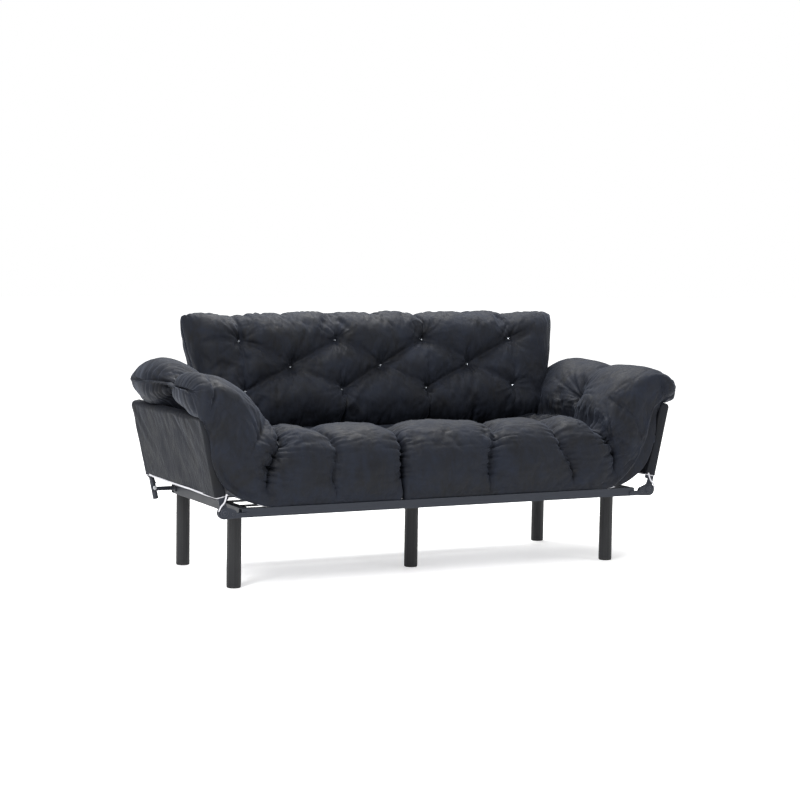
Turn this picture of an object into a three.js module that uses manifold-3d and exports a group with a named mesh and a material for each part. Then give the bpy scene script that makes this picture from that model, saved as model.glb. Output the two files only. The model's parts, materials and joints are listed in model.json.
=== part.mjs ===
// Futon sofa bed: a steel tube deck on five legs, two fabric-sleeved arm frames on ratchet hinges,
// a reclining back frame, and a thick tufted mattress in four parts. Millimetres, +Z up, +Y to the back.
import * as THREE from 'three';
import { mergeVertices } from 'three/addons/utils/BufferGeometryUtils.js';
import Module from 'manifold-3d';

const wasm = await Module();
wasm.setup();

// ---- driving dimensions ----
const GAP = 0.3; // left between pieces that touch
const REST_SHIFT_Y = -0.5; // brings the middle of the whole depth over the origin

const DECK_HALF_WIDTH = 784;
const DECK_FRONT = -384;
const DECK_REAR = 289;
const DECK_TOP = 290;
const RAIL = 30;
const RAIL_WALL = 2;
const BAR = { width: 22, height: 5, count: 5, firstY: -298, pitch: 112 };

const LEG = { radius: 25, wall: 2, x: 755, y: 245, centreY: -103 };
const GLIDE = { height: 6, lip: 24.5, stem: 22.6, stemHeight: 12 };

const ARM_PIVOT = { x: 849, z: 280 };
const ARM_LEAN = THREE.MathUtils.degToRad(12);
const ARM_FRONT = -387.5;
const ARM_REAR = 312;
const ARM_TUBE_RADIUS = 10;
const ARM_TUBE_WALL = 1.5;
const ARM_POST_FOOT = { front: 40, rear: -42 };
const ARM_BOTTOM_RAIL_W = 72;
const COVER = { out: 18.5, in: 21.5, bottom: 55, top: 327, cloth: 2.5 };

const HINGE_PLATE = 4;
const SECTOR_PLATE = 5;
const SECTOR = { root: 17.5, tip: 20, teeth: 18 };
const PAWL_PIN = { u: 32, w: -6, radius: 3, head: 5, headHeight: 2.4 };
const PLATE_STRAP = { front: 85, rear: 64.6 };
const PIVOT_BOLT_RADIUS = 5;
const FRONT_BOLT = { shank: PIVOT_BOLT_RADIUS, head: 15, headHeight: 3, nut: 9 };
const REAR_BOLT = { shank: 4, head: 7.5, headHeight: 3, nut: 7 };
const BACK_BOLT = { shank: PIVOT_BOLT_RADIUS, head: 9, headHeight: 3, nut: 8 };
const BOLT_PLAY = 0.35;
const REAR_STRAP = { inner: 11, lap: 46, height: 15, bottom: -11 };

const BACK_PIVOT = { y: 280, z: 306 };
const BACK_LEAN = THREE.MathUtils.degToRad(15);
const BACK_POST_X = 530;
const BACK_TUBE_RADIUS = 12.5;
const BACK_TUBE_WALL = 1.5;
const BACK_POST_FOOT = 22;
const BACK_CROSS = { bottom: 240, top: 470 };

const SEAT_PAD = { halfWidth: 640, front: -413, rear: 262, crest: 545, rearTop: 497 };
const ARM_PAD = { near: 24, far: 192, front: -408, rear: 308, bottom: 60 };
const ARM_ROLL = { u: 70, w: 380, halfWidth: 121, halfHeight: 92, end: 212 };
const BACK_PAD = { rear: -13.3, front: -252, bottom: 160, top: 588, halfBottom: 690, halfTop: 765 };

const ROUND = 16; // sides of a round tube

// ---- materials ----
const standard = (color, roughness, metalness) =>
  new THREE.MeshStandardMaterial({ color, roughness, metalness });
const framePaint = standard(0x3a4049, 0.5, 0.4);
const legPaint = standard(0x2c2e31, 0.55, 0.3);
const slatPaint = standard(0x1d1f24, 0.5, 0.3);
const bareSteel = standard(0x9a9ea3, 0.35, 0.9);
const footPlastic = standard(0x151516, 0.7, 0);
const velvet = standard(0x1b1e27, 0.9, 0);

// ---- geometry helpers ----
const deg = THREE.MathUtils.degToRad;

function circle(radius, x = 0, y = 0) {
  const path = new THREE.Path();
  path.absarc(x, y, radius, 0, Math.PI * 2, false);
  return path;
}

function rectangle(width, height, x = 0, y = 0) {
  const shape = new THREE.Shape();
  shape.moveTo(x - width / 2, y - height / 2);
  shape.lineTo(x + width / 2, y - height / 2);
  shape.lineTo(x + width / 2, y + height / 2);
  shape.lineTo(x - width / 2, y + height / 2);
  shape.closePath();
  return shape;
}

function extrude(shape, depth, curveSegments = ROUND / 2) {
  return new THREE.ExtrudeGeometry(shape, { depth, bevelEnabled: false, curveSegments });
}

// Shapes are drawn as (x, z) or (y, z) and stood up along the third axis.
const alongY = (geometry, y) => geometry.rotateX(Math.PI / 2).translate(0, y, 0);
const alongX = (geometry, x) => geometry.rotateZ(Math.PI / 2).rotateY(Math.PI / 2).translate(x, 0, 0);

function plateXZ(shape, yFront, thickness, curveSegments = ROUND / 2) {
  return alongY(extrude(shape, thickness, curveSegments), yFront + thickness);
}

function plateYZ(shape, xLeft, thickness, curveSegments = ROUND / 2) {
  return alongX(extrude(shape, thickness, curveSegments), xLeft);
}

function squareTube(length) {
  const shape = rectangle(RAIL, RAIL);
  shape.holes.push(rectangle(RAIL - 2 * RAIL_WALL, RAIL - 2 * RAIL_WALL));
  return extrude(shape, length).translate(0, 0, -length / 2);
}

function roundTube(length, radius, wall) {
  const shape = new THREE.Shape();
  shape.absarc(0, 0, radius, 0, Math.PI * 2, false);
  shape.holes.push(circle(radius - wall));
  return extrude(shape, length, ROUND / 2).translate(0, 0, -length / 2);
}

function mirrored(geometry) {
  const copy = mergeVertices(bare(geometry.clone().scale(-1, 1, 1)));
  const index = copy.getIndex();
  for (let i = 0; i < index.count; i += 3) {
    const first = index.getX(i);
    index.setX(i, index.getX(i + 2));
    index.setX(i + 2, first);
  }
  return copy;
}

function bare(geometry) {
  geometry.deleteAttribute('normal');
  geometry.deleteAttribute('uv');
  return geometry;
}

function solid(geometry) {
  const merged = mergeVertices(bare(geometry.clone()), 1e-3);
  return new wasm.Manifold(new wasm.Mesh({
    numProp: 3,
    vertProperties: new Float32Array(merged.getAttribute('position').array),
    triVerts: new Uint32Array(merged.getIndex().array),
  }));
}

function fromSolid(manifold) {
  const mesh = manifold.getMesh();
  const geometry = new THREE.BufferGeometry();
  geometry.setAttribute('position', new THREE.BufferAttribute(mesh.vertProperties, 3));
  geometry.setIndex(new THREE.BufferAttribute(mesh.triVerts, 1));
  return geometry;
}

const cut = (body, ...tools) => fromSolid(tools.reduce((a, tool) => a.subtract(solid(tool)), solid(body)));
const join = (body, ...more) => fromSolid(more.reduce((a, part) => a.add(solid(part)), solid(body)));
const rod = (radius, length, x, y, z) => new THREE.CylinderGeometry(radius, radius, length, ROUND)
  .translate(x, y, z);

function add(parent, name, geometry, material, position = [0, 0, 0]) {
  const mesh = new THREE.Mesh(geometry, material);
  mesh.name = name;
  mesh.position.set(...position);
  parent.add(mesh);
}

const futon = new THREE.Group();
futon.position.y = REST_SHIFT_Y;
const SIDES = [['left', -1], ['right', 1]];
const handed = (geometry, side) => (side < 0 ? geometry : mirrored(geometry));

// ---- deck ----
function buildDeck() {
  const railZ = DECK_TOP - RAIL / 2;
  const front = DECK_FRONT + RAIL / 2;
  const rear = DECK_REAR - RAIL / 2;
  const length = rear - front - RAIL - 2 * GAP;
  const middle = (front + rear) / 2;
  const across = (y, name) => add(
    futon, name, squareTube(2 * DECK_HALF_WIDTH).rotateY(Math.PI / 2), framePaint, [0, y, railZ]);
  across(front, 'front_rail');
  across(rear, 'rear_rail');
  for (const [word, side] of SIDES) {
    const x = side * (DECK_HALF_WIDTH - RAIL / 2);
    add(futon, `side_rail_${word}`, squareTube(length).rotateX(Math.PI / 2), framePaint, [x, middle, railZ]);
  }
  const crossHeight = RAIL - BAR.height - GAP;
  const cross = rectangle(RAIL, crossHeight);
  cross.holes.push(rectangle(RAIL - 2 * RAIL_WALL, crossHeight - 2 * RAIL_WALL));
  const crossTube = extrude(cross, length).translate(0, 0, -length / 2).rotateX(Math.PI / 2);
  add(futon, 'centre_cross_tube', crossTube, framePaint, [0, middle, DECK_TOP - RAIL + crossHeight / 2]);
  const barLength = 2 * (DECK_HALF_WIDTH - RAIL - GAP);
  for (let i = 0; i < BAR.count; i += 1) {
    const bar = new THREE.BoxGeometry(barLength, BAR.width, BAR.height);
    add(futon, `deck_bar_${i + 1}`, bar, slatPaint,
      [0, BAR.firstY + i * BAR.pitch, DECK_TOP - BAR.height / 2]);
  }
}

function buildLegs() {
  const top = DECK_TOP - RAIL - GAP;
  const bore = LEG.radius - LEG.wall;
  const tube = [[0, top], [0, top - 4], [bore, top - 4], [bore, GLIDE.height + GAP],
    [LEG.radius, GLIDE.height + GAP], [LEG.radius, top], [0, top]];
  const glide = [[0, GLIDE.height + GLIDE.stemHeight], [0, 0], [GLIDE.lip - 2, 0], [GLIDE.lip, 2],
    [GLIDE.lip, GLIDE.height], [GLIDE.stem, GLIDE.height], [GLIDE.stem, GLIDE.height + GLIDE.stemHeight],
    [0, GLIDE.height + GLIDE.stemHeight]];
  const turned = (profile) => new THREE.LatheGeometry(
    profile.map(([r, z]) => new THREE.Vector2(r, z)), ROUND).rotateX(Math.PI / 2);
  const places = [['front_left', -LEG.x, -LEG.y], ['front_right', LEG.x, -LEG.y],
    ['rear_left', -LEG.x, LEG.y], ['rear_right', LEG.x, LEG.y], ['centre', 0, LEG.centreY]];
  for (const [word, x, y] of places) {
    add(futon, `leg_${word}`, turned(tube), legPaint, [x, y, 0]);
    add(futon, `glide_${word}`, turned(glide), footPlastic, [x, y, 0]);
  }
}

// ---- arm hinges: (u, w) is measured from the pivot, u inboard and w up ----
function hingePlateOutline(strapEnd) {
  const shape = new THREE.Shape();
  shape.moveTo(strapEnd, -18);
  shape.lineTo(20, -21);
  shape.lineTo(0, -22);
  shape.absarc(0, 0, 22, deg(-90), deg(52), true);
  shape.absarc(29, -5, 16, deg(70), deg(8), true);
  shape.lineTo(strapEnd, -3);
  shape.closePath();
  shape.holes.push(circle(PIVOT_BOLT_RADIUS + BOLT_PLAY));
  return shape;
}

function sectorOutline() {
  const shape = new THREE.Shape();
  shape.moveTo(-10, 130);
  shape.lineTo(-11, 20);
  for (let i = 0; i <= SECTOR.teeth; i += 1) {
    const angle = 122 + i * 12;
    const tooth = new THREE.Vector2(SECTOR.root, 0).rotateAround(new THREE.Vector2(), deg(angle));
    const tip = new THREE.Vector2(SECTOR.tip, 0).rotateAround(new THREE.Vector2(), deg(angle + 9));
    shape.lineTo(tooth.x, tooth.y);
    shape.lineTo(tip.x, tip.y);
  }
  shape.lineTo(14, 24);
  shape.lineTo(12, 38);
  shape.lineTo(26, 40);
  shape.lineTo(26, 51);
  shape.lineTo(10, 52);
  shape.lineTo(10, 130);
  shape.closePath();
  shape.holes.push(circle(PIVOT_BOLT_RADIUS + BOLT_PLAY));
  return shape;
}

function pawlOutline() {
  const shape = new THREE.Shape();
  shape.absarc(PAWL_PIN.u, PAWL_PIN.w, 7, deg(150), deg(-60), true);
  shape.lineTo(19, -17.5);
  shape.lineTo(16.5, -14.2);
  shape.closePath();
  shape.holes.push(circle(PAWL_PIN.radius + BOLT_PLAY, PAWL_PIN.u, PAWL_PIN.w));
  return shape;
}

// A bolt with a domed head at its front end (lowest y) and a nut face at its rear end.
function bolt({ shank, head, headHeight, nut }, yHead, yNut) {
  const profile = [[0, -headHeight - 2], [head * 0.35, -headHeight - 2], [head * 0.4, -headHeight],
    [head - 1.5, -headHeight], [head, -headHeight + 1.5], [head, 0], [shank, 0], [shank, yNut - yHead],
    [nut, yNut - yHead], [nut, yNut - yHead + 5], [0, yNut - yHead + 5]];
  const points = [...profile, profile[0]].map(([r, y]) => new THREE.Vector2(r, y));
  return new THREE.LatheGeometry(points, ROUND).translate(0, yHead, 0);
}

function buildArmHinge(word, side) {
  const hinge = new THREE.Group();
  hinge.position.set(side * ARM_PIVOT.x, 0, ARM_PIVOT.z);
  futon.add(hinge);
  const sectorFront = DECK_FRONT;
  const frontFace = DECK_FRONT - GAP - HINGE_PLATE;
  const frontPlate = plateXZ(hingePlateOutline(PLATE_STRAP.front), frontFace, HINGE_PLATE);
  const rearY = sectorFront + SECTOR_PLATE + GAP;
  const rearPlate = plateXZ(hingePlateOutline(PLATE_STRAP.rear), rearY, HINGE_PLATE);
  const pinLength = HINGE_PLATE + SECTOR_PLATE + 2.5;
  const pinY = DECK_FRONT - GAP - HINGE_PLATE - 2 + pinLength / 2;
  const pin = rod(PAWL_PIN.radius, pinLength, PAWL_PIN.u, pinY, PAWL_PIN.w);
  const rivetHead = rod(
    PAWL_PIN.head, PAWL_PIN.headHeight, PAWL_PIN.u, DECK_FRONT - GAP - HINGE_PLATE - 1, PAWL_PIN.w);
  add(hinge, `arm_hinge_plate_front_${word}`, handed(join(frontPlate, pin, rivetHead), side), framePaint);
  add(hinge, `arm_hinge_plate_rear_${word}`, handed(rearPlate, side), framePaint);
  const pivot = bolt(FRONT_BOLT, DECK_FRONT - 2 * GAP - HINGE_PLATE, rearY + HINGE_PLATE + GAP);
  add(hinge, `arm_pivot_bolt_front_${word}`, handed(pivot, side), framePaint);
  const pawl = plateXZ(pawlOutline(), sectorFront + 0.4, SECTOR_PLATE - 0.8);
  add(hinge, `arm_pawl_${word}`, handed(pawl, side), bareSteel);

  const tongueFront = DECK_REAR - HINGE_PLATE;
  const flangeOut = ARM_PIVOT.x - DECK_HALF_WIDTH - GAP;
  const bracket = new THREE.Shape();
  bracket.moveTo(-REAR_STRAP.inner, tongueFront);
  bracket.lineTo(flangeOut - HINGE_PLATE, tongueFront);
  bracket.lineTo(flangeOut - HINGE_PLATE, tongueFront - REAR_STRAP.lap);
  bracket.lineTo(flangeOut, tongueFront - REAR_STRAP.lap);
  bracket.lineTo(flangeOut, DECK_REAR);
  bracket.lineTo(-REAR_STRAP.inner, DECK_REAR);
  bracket.closePath();
  const strap = extrude(bracket, REAR_STRAP.height).translate(0, 0, REAR_STRAP.bottom);
  const boltHole = rod(REAR_BOLT.shank + BOLT_PLAY, 5 * HINGE_PLATE, 0, DECK_REAR, 0);
  add(hinge, `arm_pivot_strap_rear_${word}`, handed(cut(strap, boltHole), side), framePaint);
  const rearBolt = bolt(REAR_BOLT, tongueFront - GAP, ARM_REAR_POST_Y + ARM_TUBE_RADIUS + GAP);
  add(hinge, `arm_pivot_bolt_rear_${word}`, handed(rearBolt, side), bareSteel);
}

// ---- arms ----
const ARM_FRONT_POST_Y = DECK_FRONT + SECTOR_PLATE + GAP + ARM_TUBE_RADIUS;
const ARM_REAR_POST_Y = DECK_REAR + GAP + ARM_TUBE_RADIUS;

function armTube(from, to) {
  const length = to - from;
  return roundTube(length, ARM_TUBE_RADIUS, ARM_TUBE_WALL).translate(0, 0, (from + to) / 2);
}

function armPadOutline() {
  const shape = new THREE.Shape();
  shape.moveTo(ARM_PAD.near, ARM_PAD.bottom);
  shape.lineTo(90, 22);
  shape.lineTo(ARM_PAD.far, -10);
  shape.lineTo(ARM_PAD.far - 1, ARM_ROLL.w);
  shape.absellipse(ARM_ROLL.u, ARM_ROLL.w, ARM_ROLL.halfWidth, ARM_ROLL.halfHeight,
    0, deg(ARM_ROLL.end), false);
  shape.lineTo(ARM_PAD.near, COVER.top + 4);
  shape.closePath();
  return shape;
}

function buildArm(word, side) {
  const arm = new THREE.Group();
  arm.position.set(side * ARM_PIVOT.x, 0, ARM_PIVOT.z);
  arm.rotation.y = side * ARM_LEAN;
  futon.add(arm);
  const topRailW = COVER.top - COVER.cloth - GAP - ARM_TUBE_RADIUS;
  const postTop = topRailW - ARM_TUBE_RADIUS - GAP;
  const frontPost = armTube(ARM_POST_FOOT.front, postTop).translate(0, ARM_FRONT_POST_Y, 0);
  const rearHole = rod(REAR_BOLT.shank + BOLT_PLAY, 6 * ARM_TUBE_RADIUS, 0, ARM_REAR_POST_Y, 0);
  const rearPost = cut(armTube(ARM_POST_FOOT.rear, postTop).translate(0, ARM_REAR_POST_Y, 0), rearHole);
  add(arm, `arm_post_front_${word}`, handed(frontPost, side), framePaint);
  add(arm, `arm_post_rear_${word}`, handed(rearPost, side), framePaint);
  const lying = (length) => roundTube(length, ARM_TUBE_RADIUS, ARM_TUBE_WALL).rotateX(Math.PI / 2);
  const middle = (ARM_FRONT_POST_Y + ARM_REAR_POST_Y) / 2;
  const span = ARM_REAR_POST_Y - ARM_FRONT_POST_Y;
  const reach = 2 * ARM_TUBE_RADIUS;
  add(arm, `arm_top_rail_${word}`, lying(span + reach), framePaint, [0, middle, topRailW]);
  const bottomRail = lying(span - reach - 2 * GAP);
  add(arm, `arm_bottom_rail_${word}`, bottomRail, framePaint, [0, middle, ARM_BOTTOM_RAIL_W]);
  const sector = plateXZ(sectorOutline(), DECK_FRONT, SECTOR_PLATE - GAP);
  add(arm, `arm_ratchet_plate_${word}`, handed(sector, side), framePaint);

  const width = COVER.in + COVER.out;
  const centre = (COVER.in - COVER.out) / 2;
  const slab = (inset, bottom, top) => new THREE.BoxGeometry(
    width - 2 * inset, ARM_REAR - ARM_FRONT - 2 * inset, top - bottom)
    .translate(centre, (ARM_FRONT + ARM_REAR) / 2, (bottom + top) / 2);
  const cover = cut(slab(0, COVER.bottom, COVER.top),
    slab(COVER.cloth, COVER.bottom - 10, COVER.top - COVER.cloth));
  add(arm, `arm_cover_${word}`, handed(cover, side), velvet);
  const pad = plateXZ(armPadOutline(), ARM_PAD.front, ARM_PAD.rear - ARM_PAD.front, 12);
  add(arm, `mattress_arm_${word}`, handed(pad, side), velvet);
}

// ---- back ----
function backPadGeometry() {
  const { rear, front, bottom, top } = BACK_PAD;
  const shape = new THREE.Shape();
  shape.moveTo(rear, bottom + 75);
  shape.quadraticCurveTo(rear - 12, bottom + 20, -110, bottom + 10);
  shape.lineTo(-190, bottom + 3);
  shape.quadraticCurveTo(front, bottom, front, bottom + 85);
  shape.lineTo(front, top - 110);
  shape.quadraticCurveTo(front, top, -165, top);
  shape.quadraticCurveTo(rear, top, rear, top - 120);
  shape.closePath();
  const geometry = plateYZ(shape, -1, 2, 5);
  const position = geometry.getAttribute('position');
  for (let i = 0; i < position.count; i += 1) {
    const share = (position.getZ(i) - bottom) / (top - bottom);
    position.setX(i, position.getX(i) * THREE.MathUtils.lerp(BACK_PAD.halfBottom, BACK_PAD.halfTop, share));
  }
  return geometry;
}

function backPlateOutline(from, to) {
  const shape = new THREE.Shape();
  shape.moveTo(-10, to);
  shape.lineTo(-10, from);
  shape.absarc(0, 0, 13, deg(200), deg(-20), false);
  shape.lineTo(10, to);
  shape.closePath();
  shape.holes.push(circle(PIVOT_BOLT_RADIUS + BOLT_PLAY));
  return shape;
}

function backBracketOutline() {
  const foot = DECK_TOP + GAP - BACK_PIVOT.z;
  const shape = new THREE.Shape();
  shape.moveTo(8, foot);
  shape.lineTo(12.5, 0);
  shape.absarc(0, 0, 12.5, 0, Math.PI, false);
  shape.lineTo(-20, foot);
  shape.closePath();
  shape.holes.push(circle(PIVOT_BOLT_RADIUS + BOLT_PLAY));
  return shape;
}

function buildBack() {
  const back = new THREE.Group();
  back.position.set(0, BACK_PIVOT.y, BACK_PIVOT.z);
  back.rotation.x = -BACK_LEAN;
  const hinge = new THREE.Group();
  hinge.position.copy(back.position);
  futon.add(back, hinge);
  const r = BACK_TUBE_RADIUS;
  const postTop = BACK_CROSS.top - r - GAP;
  const tube = (length) => roundTube(length, r, BACK_TUBE_WALL);
  const upright = (from, to) => tube(to - from).translate(0, 0, (from + to) / 2);
  for (const [word, side] of SIDES) {
    add(back, `back_post_${word}`, upright(BACK_POST_FOOT, postTop), framePaint, [side * BACK_POST_X, 0, 0]);
    const inner = BACK_POST_X + r + GAP;
    const plate = plateYZ(backPlateOutline(-5, 90), -inner - HINGE_PLATE, HINGE_PLATE);
    add(back, `back_hinge_plate_${word}`, handed(plate, side), framePaint);
    const fixed = plateYZ(backBracketOutline(), -inner - 2 * HINGE_PLATE - GAP, HINGE_PLATE);
    add(hinge, `back_hinge_bracket_${word}`, handed(fixed, side), framePaint);
    const stack = 2 * HINGE_PLATE + 3 * GAP;
    const pivot = bolt(BACK_BOLT, 0, stack)
      .rotateZ(-Math.PI / 2).translate(-inner - stack + GAP, 0, 0);
    add(hinge, `back_pivot_bolt_${word}`, handed(pivot, side), bareSteel);
  }
  const top = tube(2 * (BACK_POST_X + r)).rotateY(Math.PI / 2);
  add(back, 'back_top_tube', top, framePaint, [0, 0, BACK_CROSS.top]);
  const bottom = tube(2 * (BACK_POST_X - r - GAP)).rotateY(Math.PI / 2);
  add(back, 'back_bottom_tube', bottom, framePaint, [0, 0, BACK_CROSS.bottom]);
  add(back, 'back_centre_tube', upright(BACK_CROSS.bottom + r + GAP, postTop), framePaint);
  add(back, 'back_cushion', backPadGeometry(), velvet);
}

// ---- seat mattress ----
function buildSeatMattress() {
  const { halfWidth, front, rear, crest, rearTop } = SEAT_PAD;
  const bottom = DECK_TOP + GAP;
  const shape = new THREE.Shape();
  shape.moveTo(front + 60, bottom);
  shape.lineTo(rear - 25, bottom);
  shape.quadraticCurveTo(rear, bottom, rear, bottom + 50);
  shape.lineTo(rear, rearTop - 90);
  shape.quadraticCurveTo(rear, rearTop - 30, rear - 70, rearTop - 25);
  shape.lineTo(60, rearTop);
  shape.quadraticCurveTo(-120, crest - 4, -230, crest);
  shape.quadraticCurveTo(front, crest, front, crest - 140);
  shape.quadraticCurveTo(front, bottom, front + 60, bottom);
  shape.closePath();
  add(futon, 'mattress_seat', plateYZ(shape, -halfWidth, 2 * halfWidth, 6), velvet);
}

buildDeck();
buildLegs();
for (const [word, side] of SIDES) {
  buildArmHinge(word, side);
  buildArm(word, side);
}
buildBack();
buildSeatMattress();

export default futon;
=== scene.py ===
import json
import math

import bmesh
import bpy
import numpy as np
from mathutils import Matrix, Vector


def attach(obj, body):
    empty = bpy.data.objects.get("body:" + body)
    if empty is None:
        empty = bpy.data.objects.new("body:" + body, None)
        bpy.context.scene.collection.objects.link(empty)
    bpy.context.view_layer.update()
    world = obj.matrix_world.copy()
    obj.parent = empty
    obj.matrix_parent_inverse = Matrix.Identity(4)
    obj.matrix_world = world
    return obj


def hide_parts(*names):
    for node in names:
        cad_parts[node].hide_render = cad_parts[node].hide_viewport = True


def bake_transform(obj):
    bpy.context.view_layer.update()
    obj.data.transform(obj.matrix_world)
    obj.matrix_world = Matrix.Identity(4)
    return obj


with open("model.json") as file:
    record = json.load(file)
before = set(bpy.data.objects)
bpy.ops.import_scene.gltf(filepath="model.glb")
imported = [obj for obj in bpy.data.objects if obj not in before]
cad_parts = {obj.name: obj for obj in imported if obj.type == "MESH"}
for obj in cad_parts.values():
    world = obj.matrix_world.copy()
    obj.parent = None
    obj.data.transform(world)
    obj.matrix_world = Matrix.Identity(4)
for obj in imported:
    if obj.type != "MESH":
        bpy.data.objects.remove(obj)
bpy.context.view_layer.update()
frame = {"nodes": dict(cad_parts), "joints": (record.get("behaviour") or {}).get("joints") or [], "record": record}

SIGN = {"left": -1, "right": 1}

# ---- camera: at the left front, a little above the arms, on a long lens ----
CAMERA_AT = Vector((-3.122, -6.0275, 1.174))
CAMERA_AZIMUTH = math.radians(-27.37)
CAMERA_ELEVATION = math.radians(4.81)
CAMERA_ROLL = math.radians(0.96)
CAMERA_LENS = 83.16
SENSOR_WIDTH = 36


def make_camera():
    level = math.cos(CAMERA_ELEVATION)
    back = Vector((math.sin(CAMERA_AZIMUTH) * level, -math.cos(CAMERA_AZIMUTH) * level,
                   math.sin(CAMERA_ELEVATION)))
    right = (-back).cross(Vector((0, 0, 1))).normalized()
    up = right.cross(-back)
    c, s = math.cos(CAMERA_ROLL), math.sin(CAMERA_ROLL)
    right_rolled = right * c + up * s
    up_rolled = up * c - right * s
    data = bpy.data.cameras.new("camera")
    data.lens = CAMERA_LENS
    data.sensor_width = SENSOR_WIDTH
    camera = bpy.data.objects.new("camera", data)
    turn = Matrix((right_rolled, up_rolled, back)).transposed().to_4x4()
    camera.matrix_world = Matrix.Translation(CAMERA_AT) @ turn
    bpy.context.scene.collection.objects.link(camera)
    bpy.context.scene.camera = camera


make_camera()


# ---- materials ----
WORN_METAL = (0.16, 0.17, 0.19, 1)
EDGE_RADIUS = 0.002
SHEEN_TINT = (0.62, 0.72, 0.95, 1)


def new_material(name):
    material = bpy.data.materials.new(name)
    material.use_nodes = True
    nodes = material.node_tree.nodes
    return material, nodes, material.node_tree.links, nodes["Principled BSDF"]


def set_sockets(node, values):
    for socket, value in values.items():
        node.inputs[socket].default_value = value


def add_node(nodes, kind, values=None):
    node = nodes.new(kind)
    set_sockets(node, values or {})
    return node


def painted(name, color, roughness, grain, wear):
    """Powder coat: fine orange-peel grain, cloudy roughness, rubbed lighter edges."""
    material, nodes, links, shader = new_material(name)
    where = add_node(nodes, "ShaderNodeTexCoord")
    cloud = add_node(nodes, "ShaderNodeTexNoise", {"Scale": 14, "Detail": 4})
    speck = add_node(nodes, "ShaderNodeTexNoise", {"Scale": grain, "Detail": 2})
    for texture in (cloud, speck):
        links.new(where.outputs["Object"], texture.inputs["Vector"])
    darker = (*[c * 0.85 for c in color], 1)
    lighter = (*[min(1, c * 1.2) for c in color], 1)
    tone = add_node(nodes, "ShaderNodeMixRGB", {"Color1": darker, "Color2": lighter})
    links.new(cloud.outputs["Fac"], tone.inputs["Fac"])
    geometry = add_node(nodes, "ShaderNodeNewGeometry")
    bevel = add_node(nodes, "ShaderNodeBevel", {"Radius": EDGE_RADIUS})
    bevel.samples = 3
    turn = add_node(nodes, "ShaderNodeVectorMath")
    turn.operation = "DOT_PRODUCT"
    links.new(bevel.outputs["Normal"], turn.inputs[0])
    links.new(geometry.outputs["Normal"], turn.inputs[1])
    edge = add_node(nodes, "ShaderNodeMapRange", {"From Min": 0.995, "From Max": 0.90, "To Max": wear})
    links.new(turn.outputs["Value"], edge.inputs["Value"])
    worn = add_node(nodes, "ShaderNodeMixRGB", {"Color2": WORN_METAL})
    links.new(edge.outputs["Result"], worn.inputs["Fac"])
    links.new(tone.outputs["Color"], worn.inputs["Color1"])
    links.new(worn.outputs["Color"], shader.inputs["Base Color"])
    rough = add_node(nodes, "ShaderNodeMapRange", {"To Min": roughness - 0.06, "To Max": roughness + 0.08})
    links.new(cloud.outputs["Fac"], rough.inputs["Value"])
    links.new(rough.outputs["Result"], shader.inputs["Roughness"])
    bump = add_node(nodes, "ShaderNodeBump", {"Strength": 0.12, "Distance": 0.0006})
    links.new(speck.outputs["Fac"], bump.inputs["Height"])
    links.new(bevel.outputs["Normal"], bump.inputs["Normal"])
    links.new(bump.outputs["Normal"], shader.inputs["Normal"])
    set_sockets(shader, {"Specular IOR Level": 0.3})
    return material


def velvet(name, dark, light, sheen):
    """Short crushed pile: brushed light and dark patches, fine streaks, a soft sheen at grazing angles."""
    material, nodes, links, shader = new_material(name)
    where = add_node(nodes, "ShaderNodeTexCoord")

    def noise_of(scale, detail, stretch, distortion=0.0):
        mapping = add_node(nodes, "ShaderNodeMapping", {"Scale": stretch})
        links.new(where.outputs["Object"], mapping.inputs["Vector"])
        texture = add_node(nodes, "ShaderNodeTexNoise",
                           {"Scale": scale, "Detail": detail, "Distortion": distortion})
        links.new(mapping.outputs["Vector"], texture.inputs["Vector"])
        return texture.outputs["Fac"]

    def spread(value, low, high):
        node = add_node(nodes, "ShaderNodeMapRange", {"From Min": low, "From Max": high})
        links.new(value, node.inputs["Value"])
        return node.outputs["Result"]

    def blended(mode, factor, first, second):
        node = add_node(nodes, "ShaderNodeMixRGB")
        node.blend_type = mode
        for socket, value in (("Fac", factor), ("Color1", first), ("Color2", second)):
            if isinstance(value, (float, tuple)):
                node.inputs[socket].default_value = value
            else:
                links.new(value, node.inputs[socket])
        return node.outputs["Color"]

    patches = spread(noise_of(11, 5, (1, 1, 0.8), 0.6), 0.36, 0.66)
    streaks = spread(noise_of(38, 5, (1.0, 1.0, 0.4), 1.6), 0.35, 0.70)
    pile = noise_of(1400, 2, (1, 1, 1))
    nap = blended("MIX", 0.42, patches, streaks)
    colour = blended("MIX", nap, (*dark, 1), (*light, 1))
    fleck = blended("MIX", spread(pile, 0.3, 0.7), (0.72, 0.72, 0.72, 1), (1.25, 1.25, 1.25, 1))
    links.new(blended("MULTIPLY", 1.0, colour, fleck), shader.inputs["Base Color"])
    rough = add_node(nodes, "ShaderNodeMapRange", {"To Min": 0.62, "To Max": 0.85})
    links.new(nap, rough.inputs["Value"])
    links.new(rough.outputs["Result"], shader.inputs["Roughness"])
    fine = add_node(nodes, "ShaderNodeBump", {"Strength": 0.35, "Distance": 0.0005})
    links.new(pile, fine.inputs["Height"])
    crush = add_node(nodes, "ShaderNodeBump", {"Strength": 0.30, "Distance": 0.0022})
    links.new(streaks, crush.inputs["Height"])
    links.new(fine.outputs["Normal"], crush.inputs["Normal"])
    links.new(crush.outputs["Normal"], shader.inputs["Normal"])
    set_sockets(shader, {"Specular IOR Level": 0.22, "Sheen Weight": sheen,
                         "Sheen Roughness": 0.38, "Sheen Tint": SHEEN_TINT})
    return material


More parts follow.
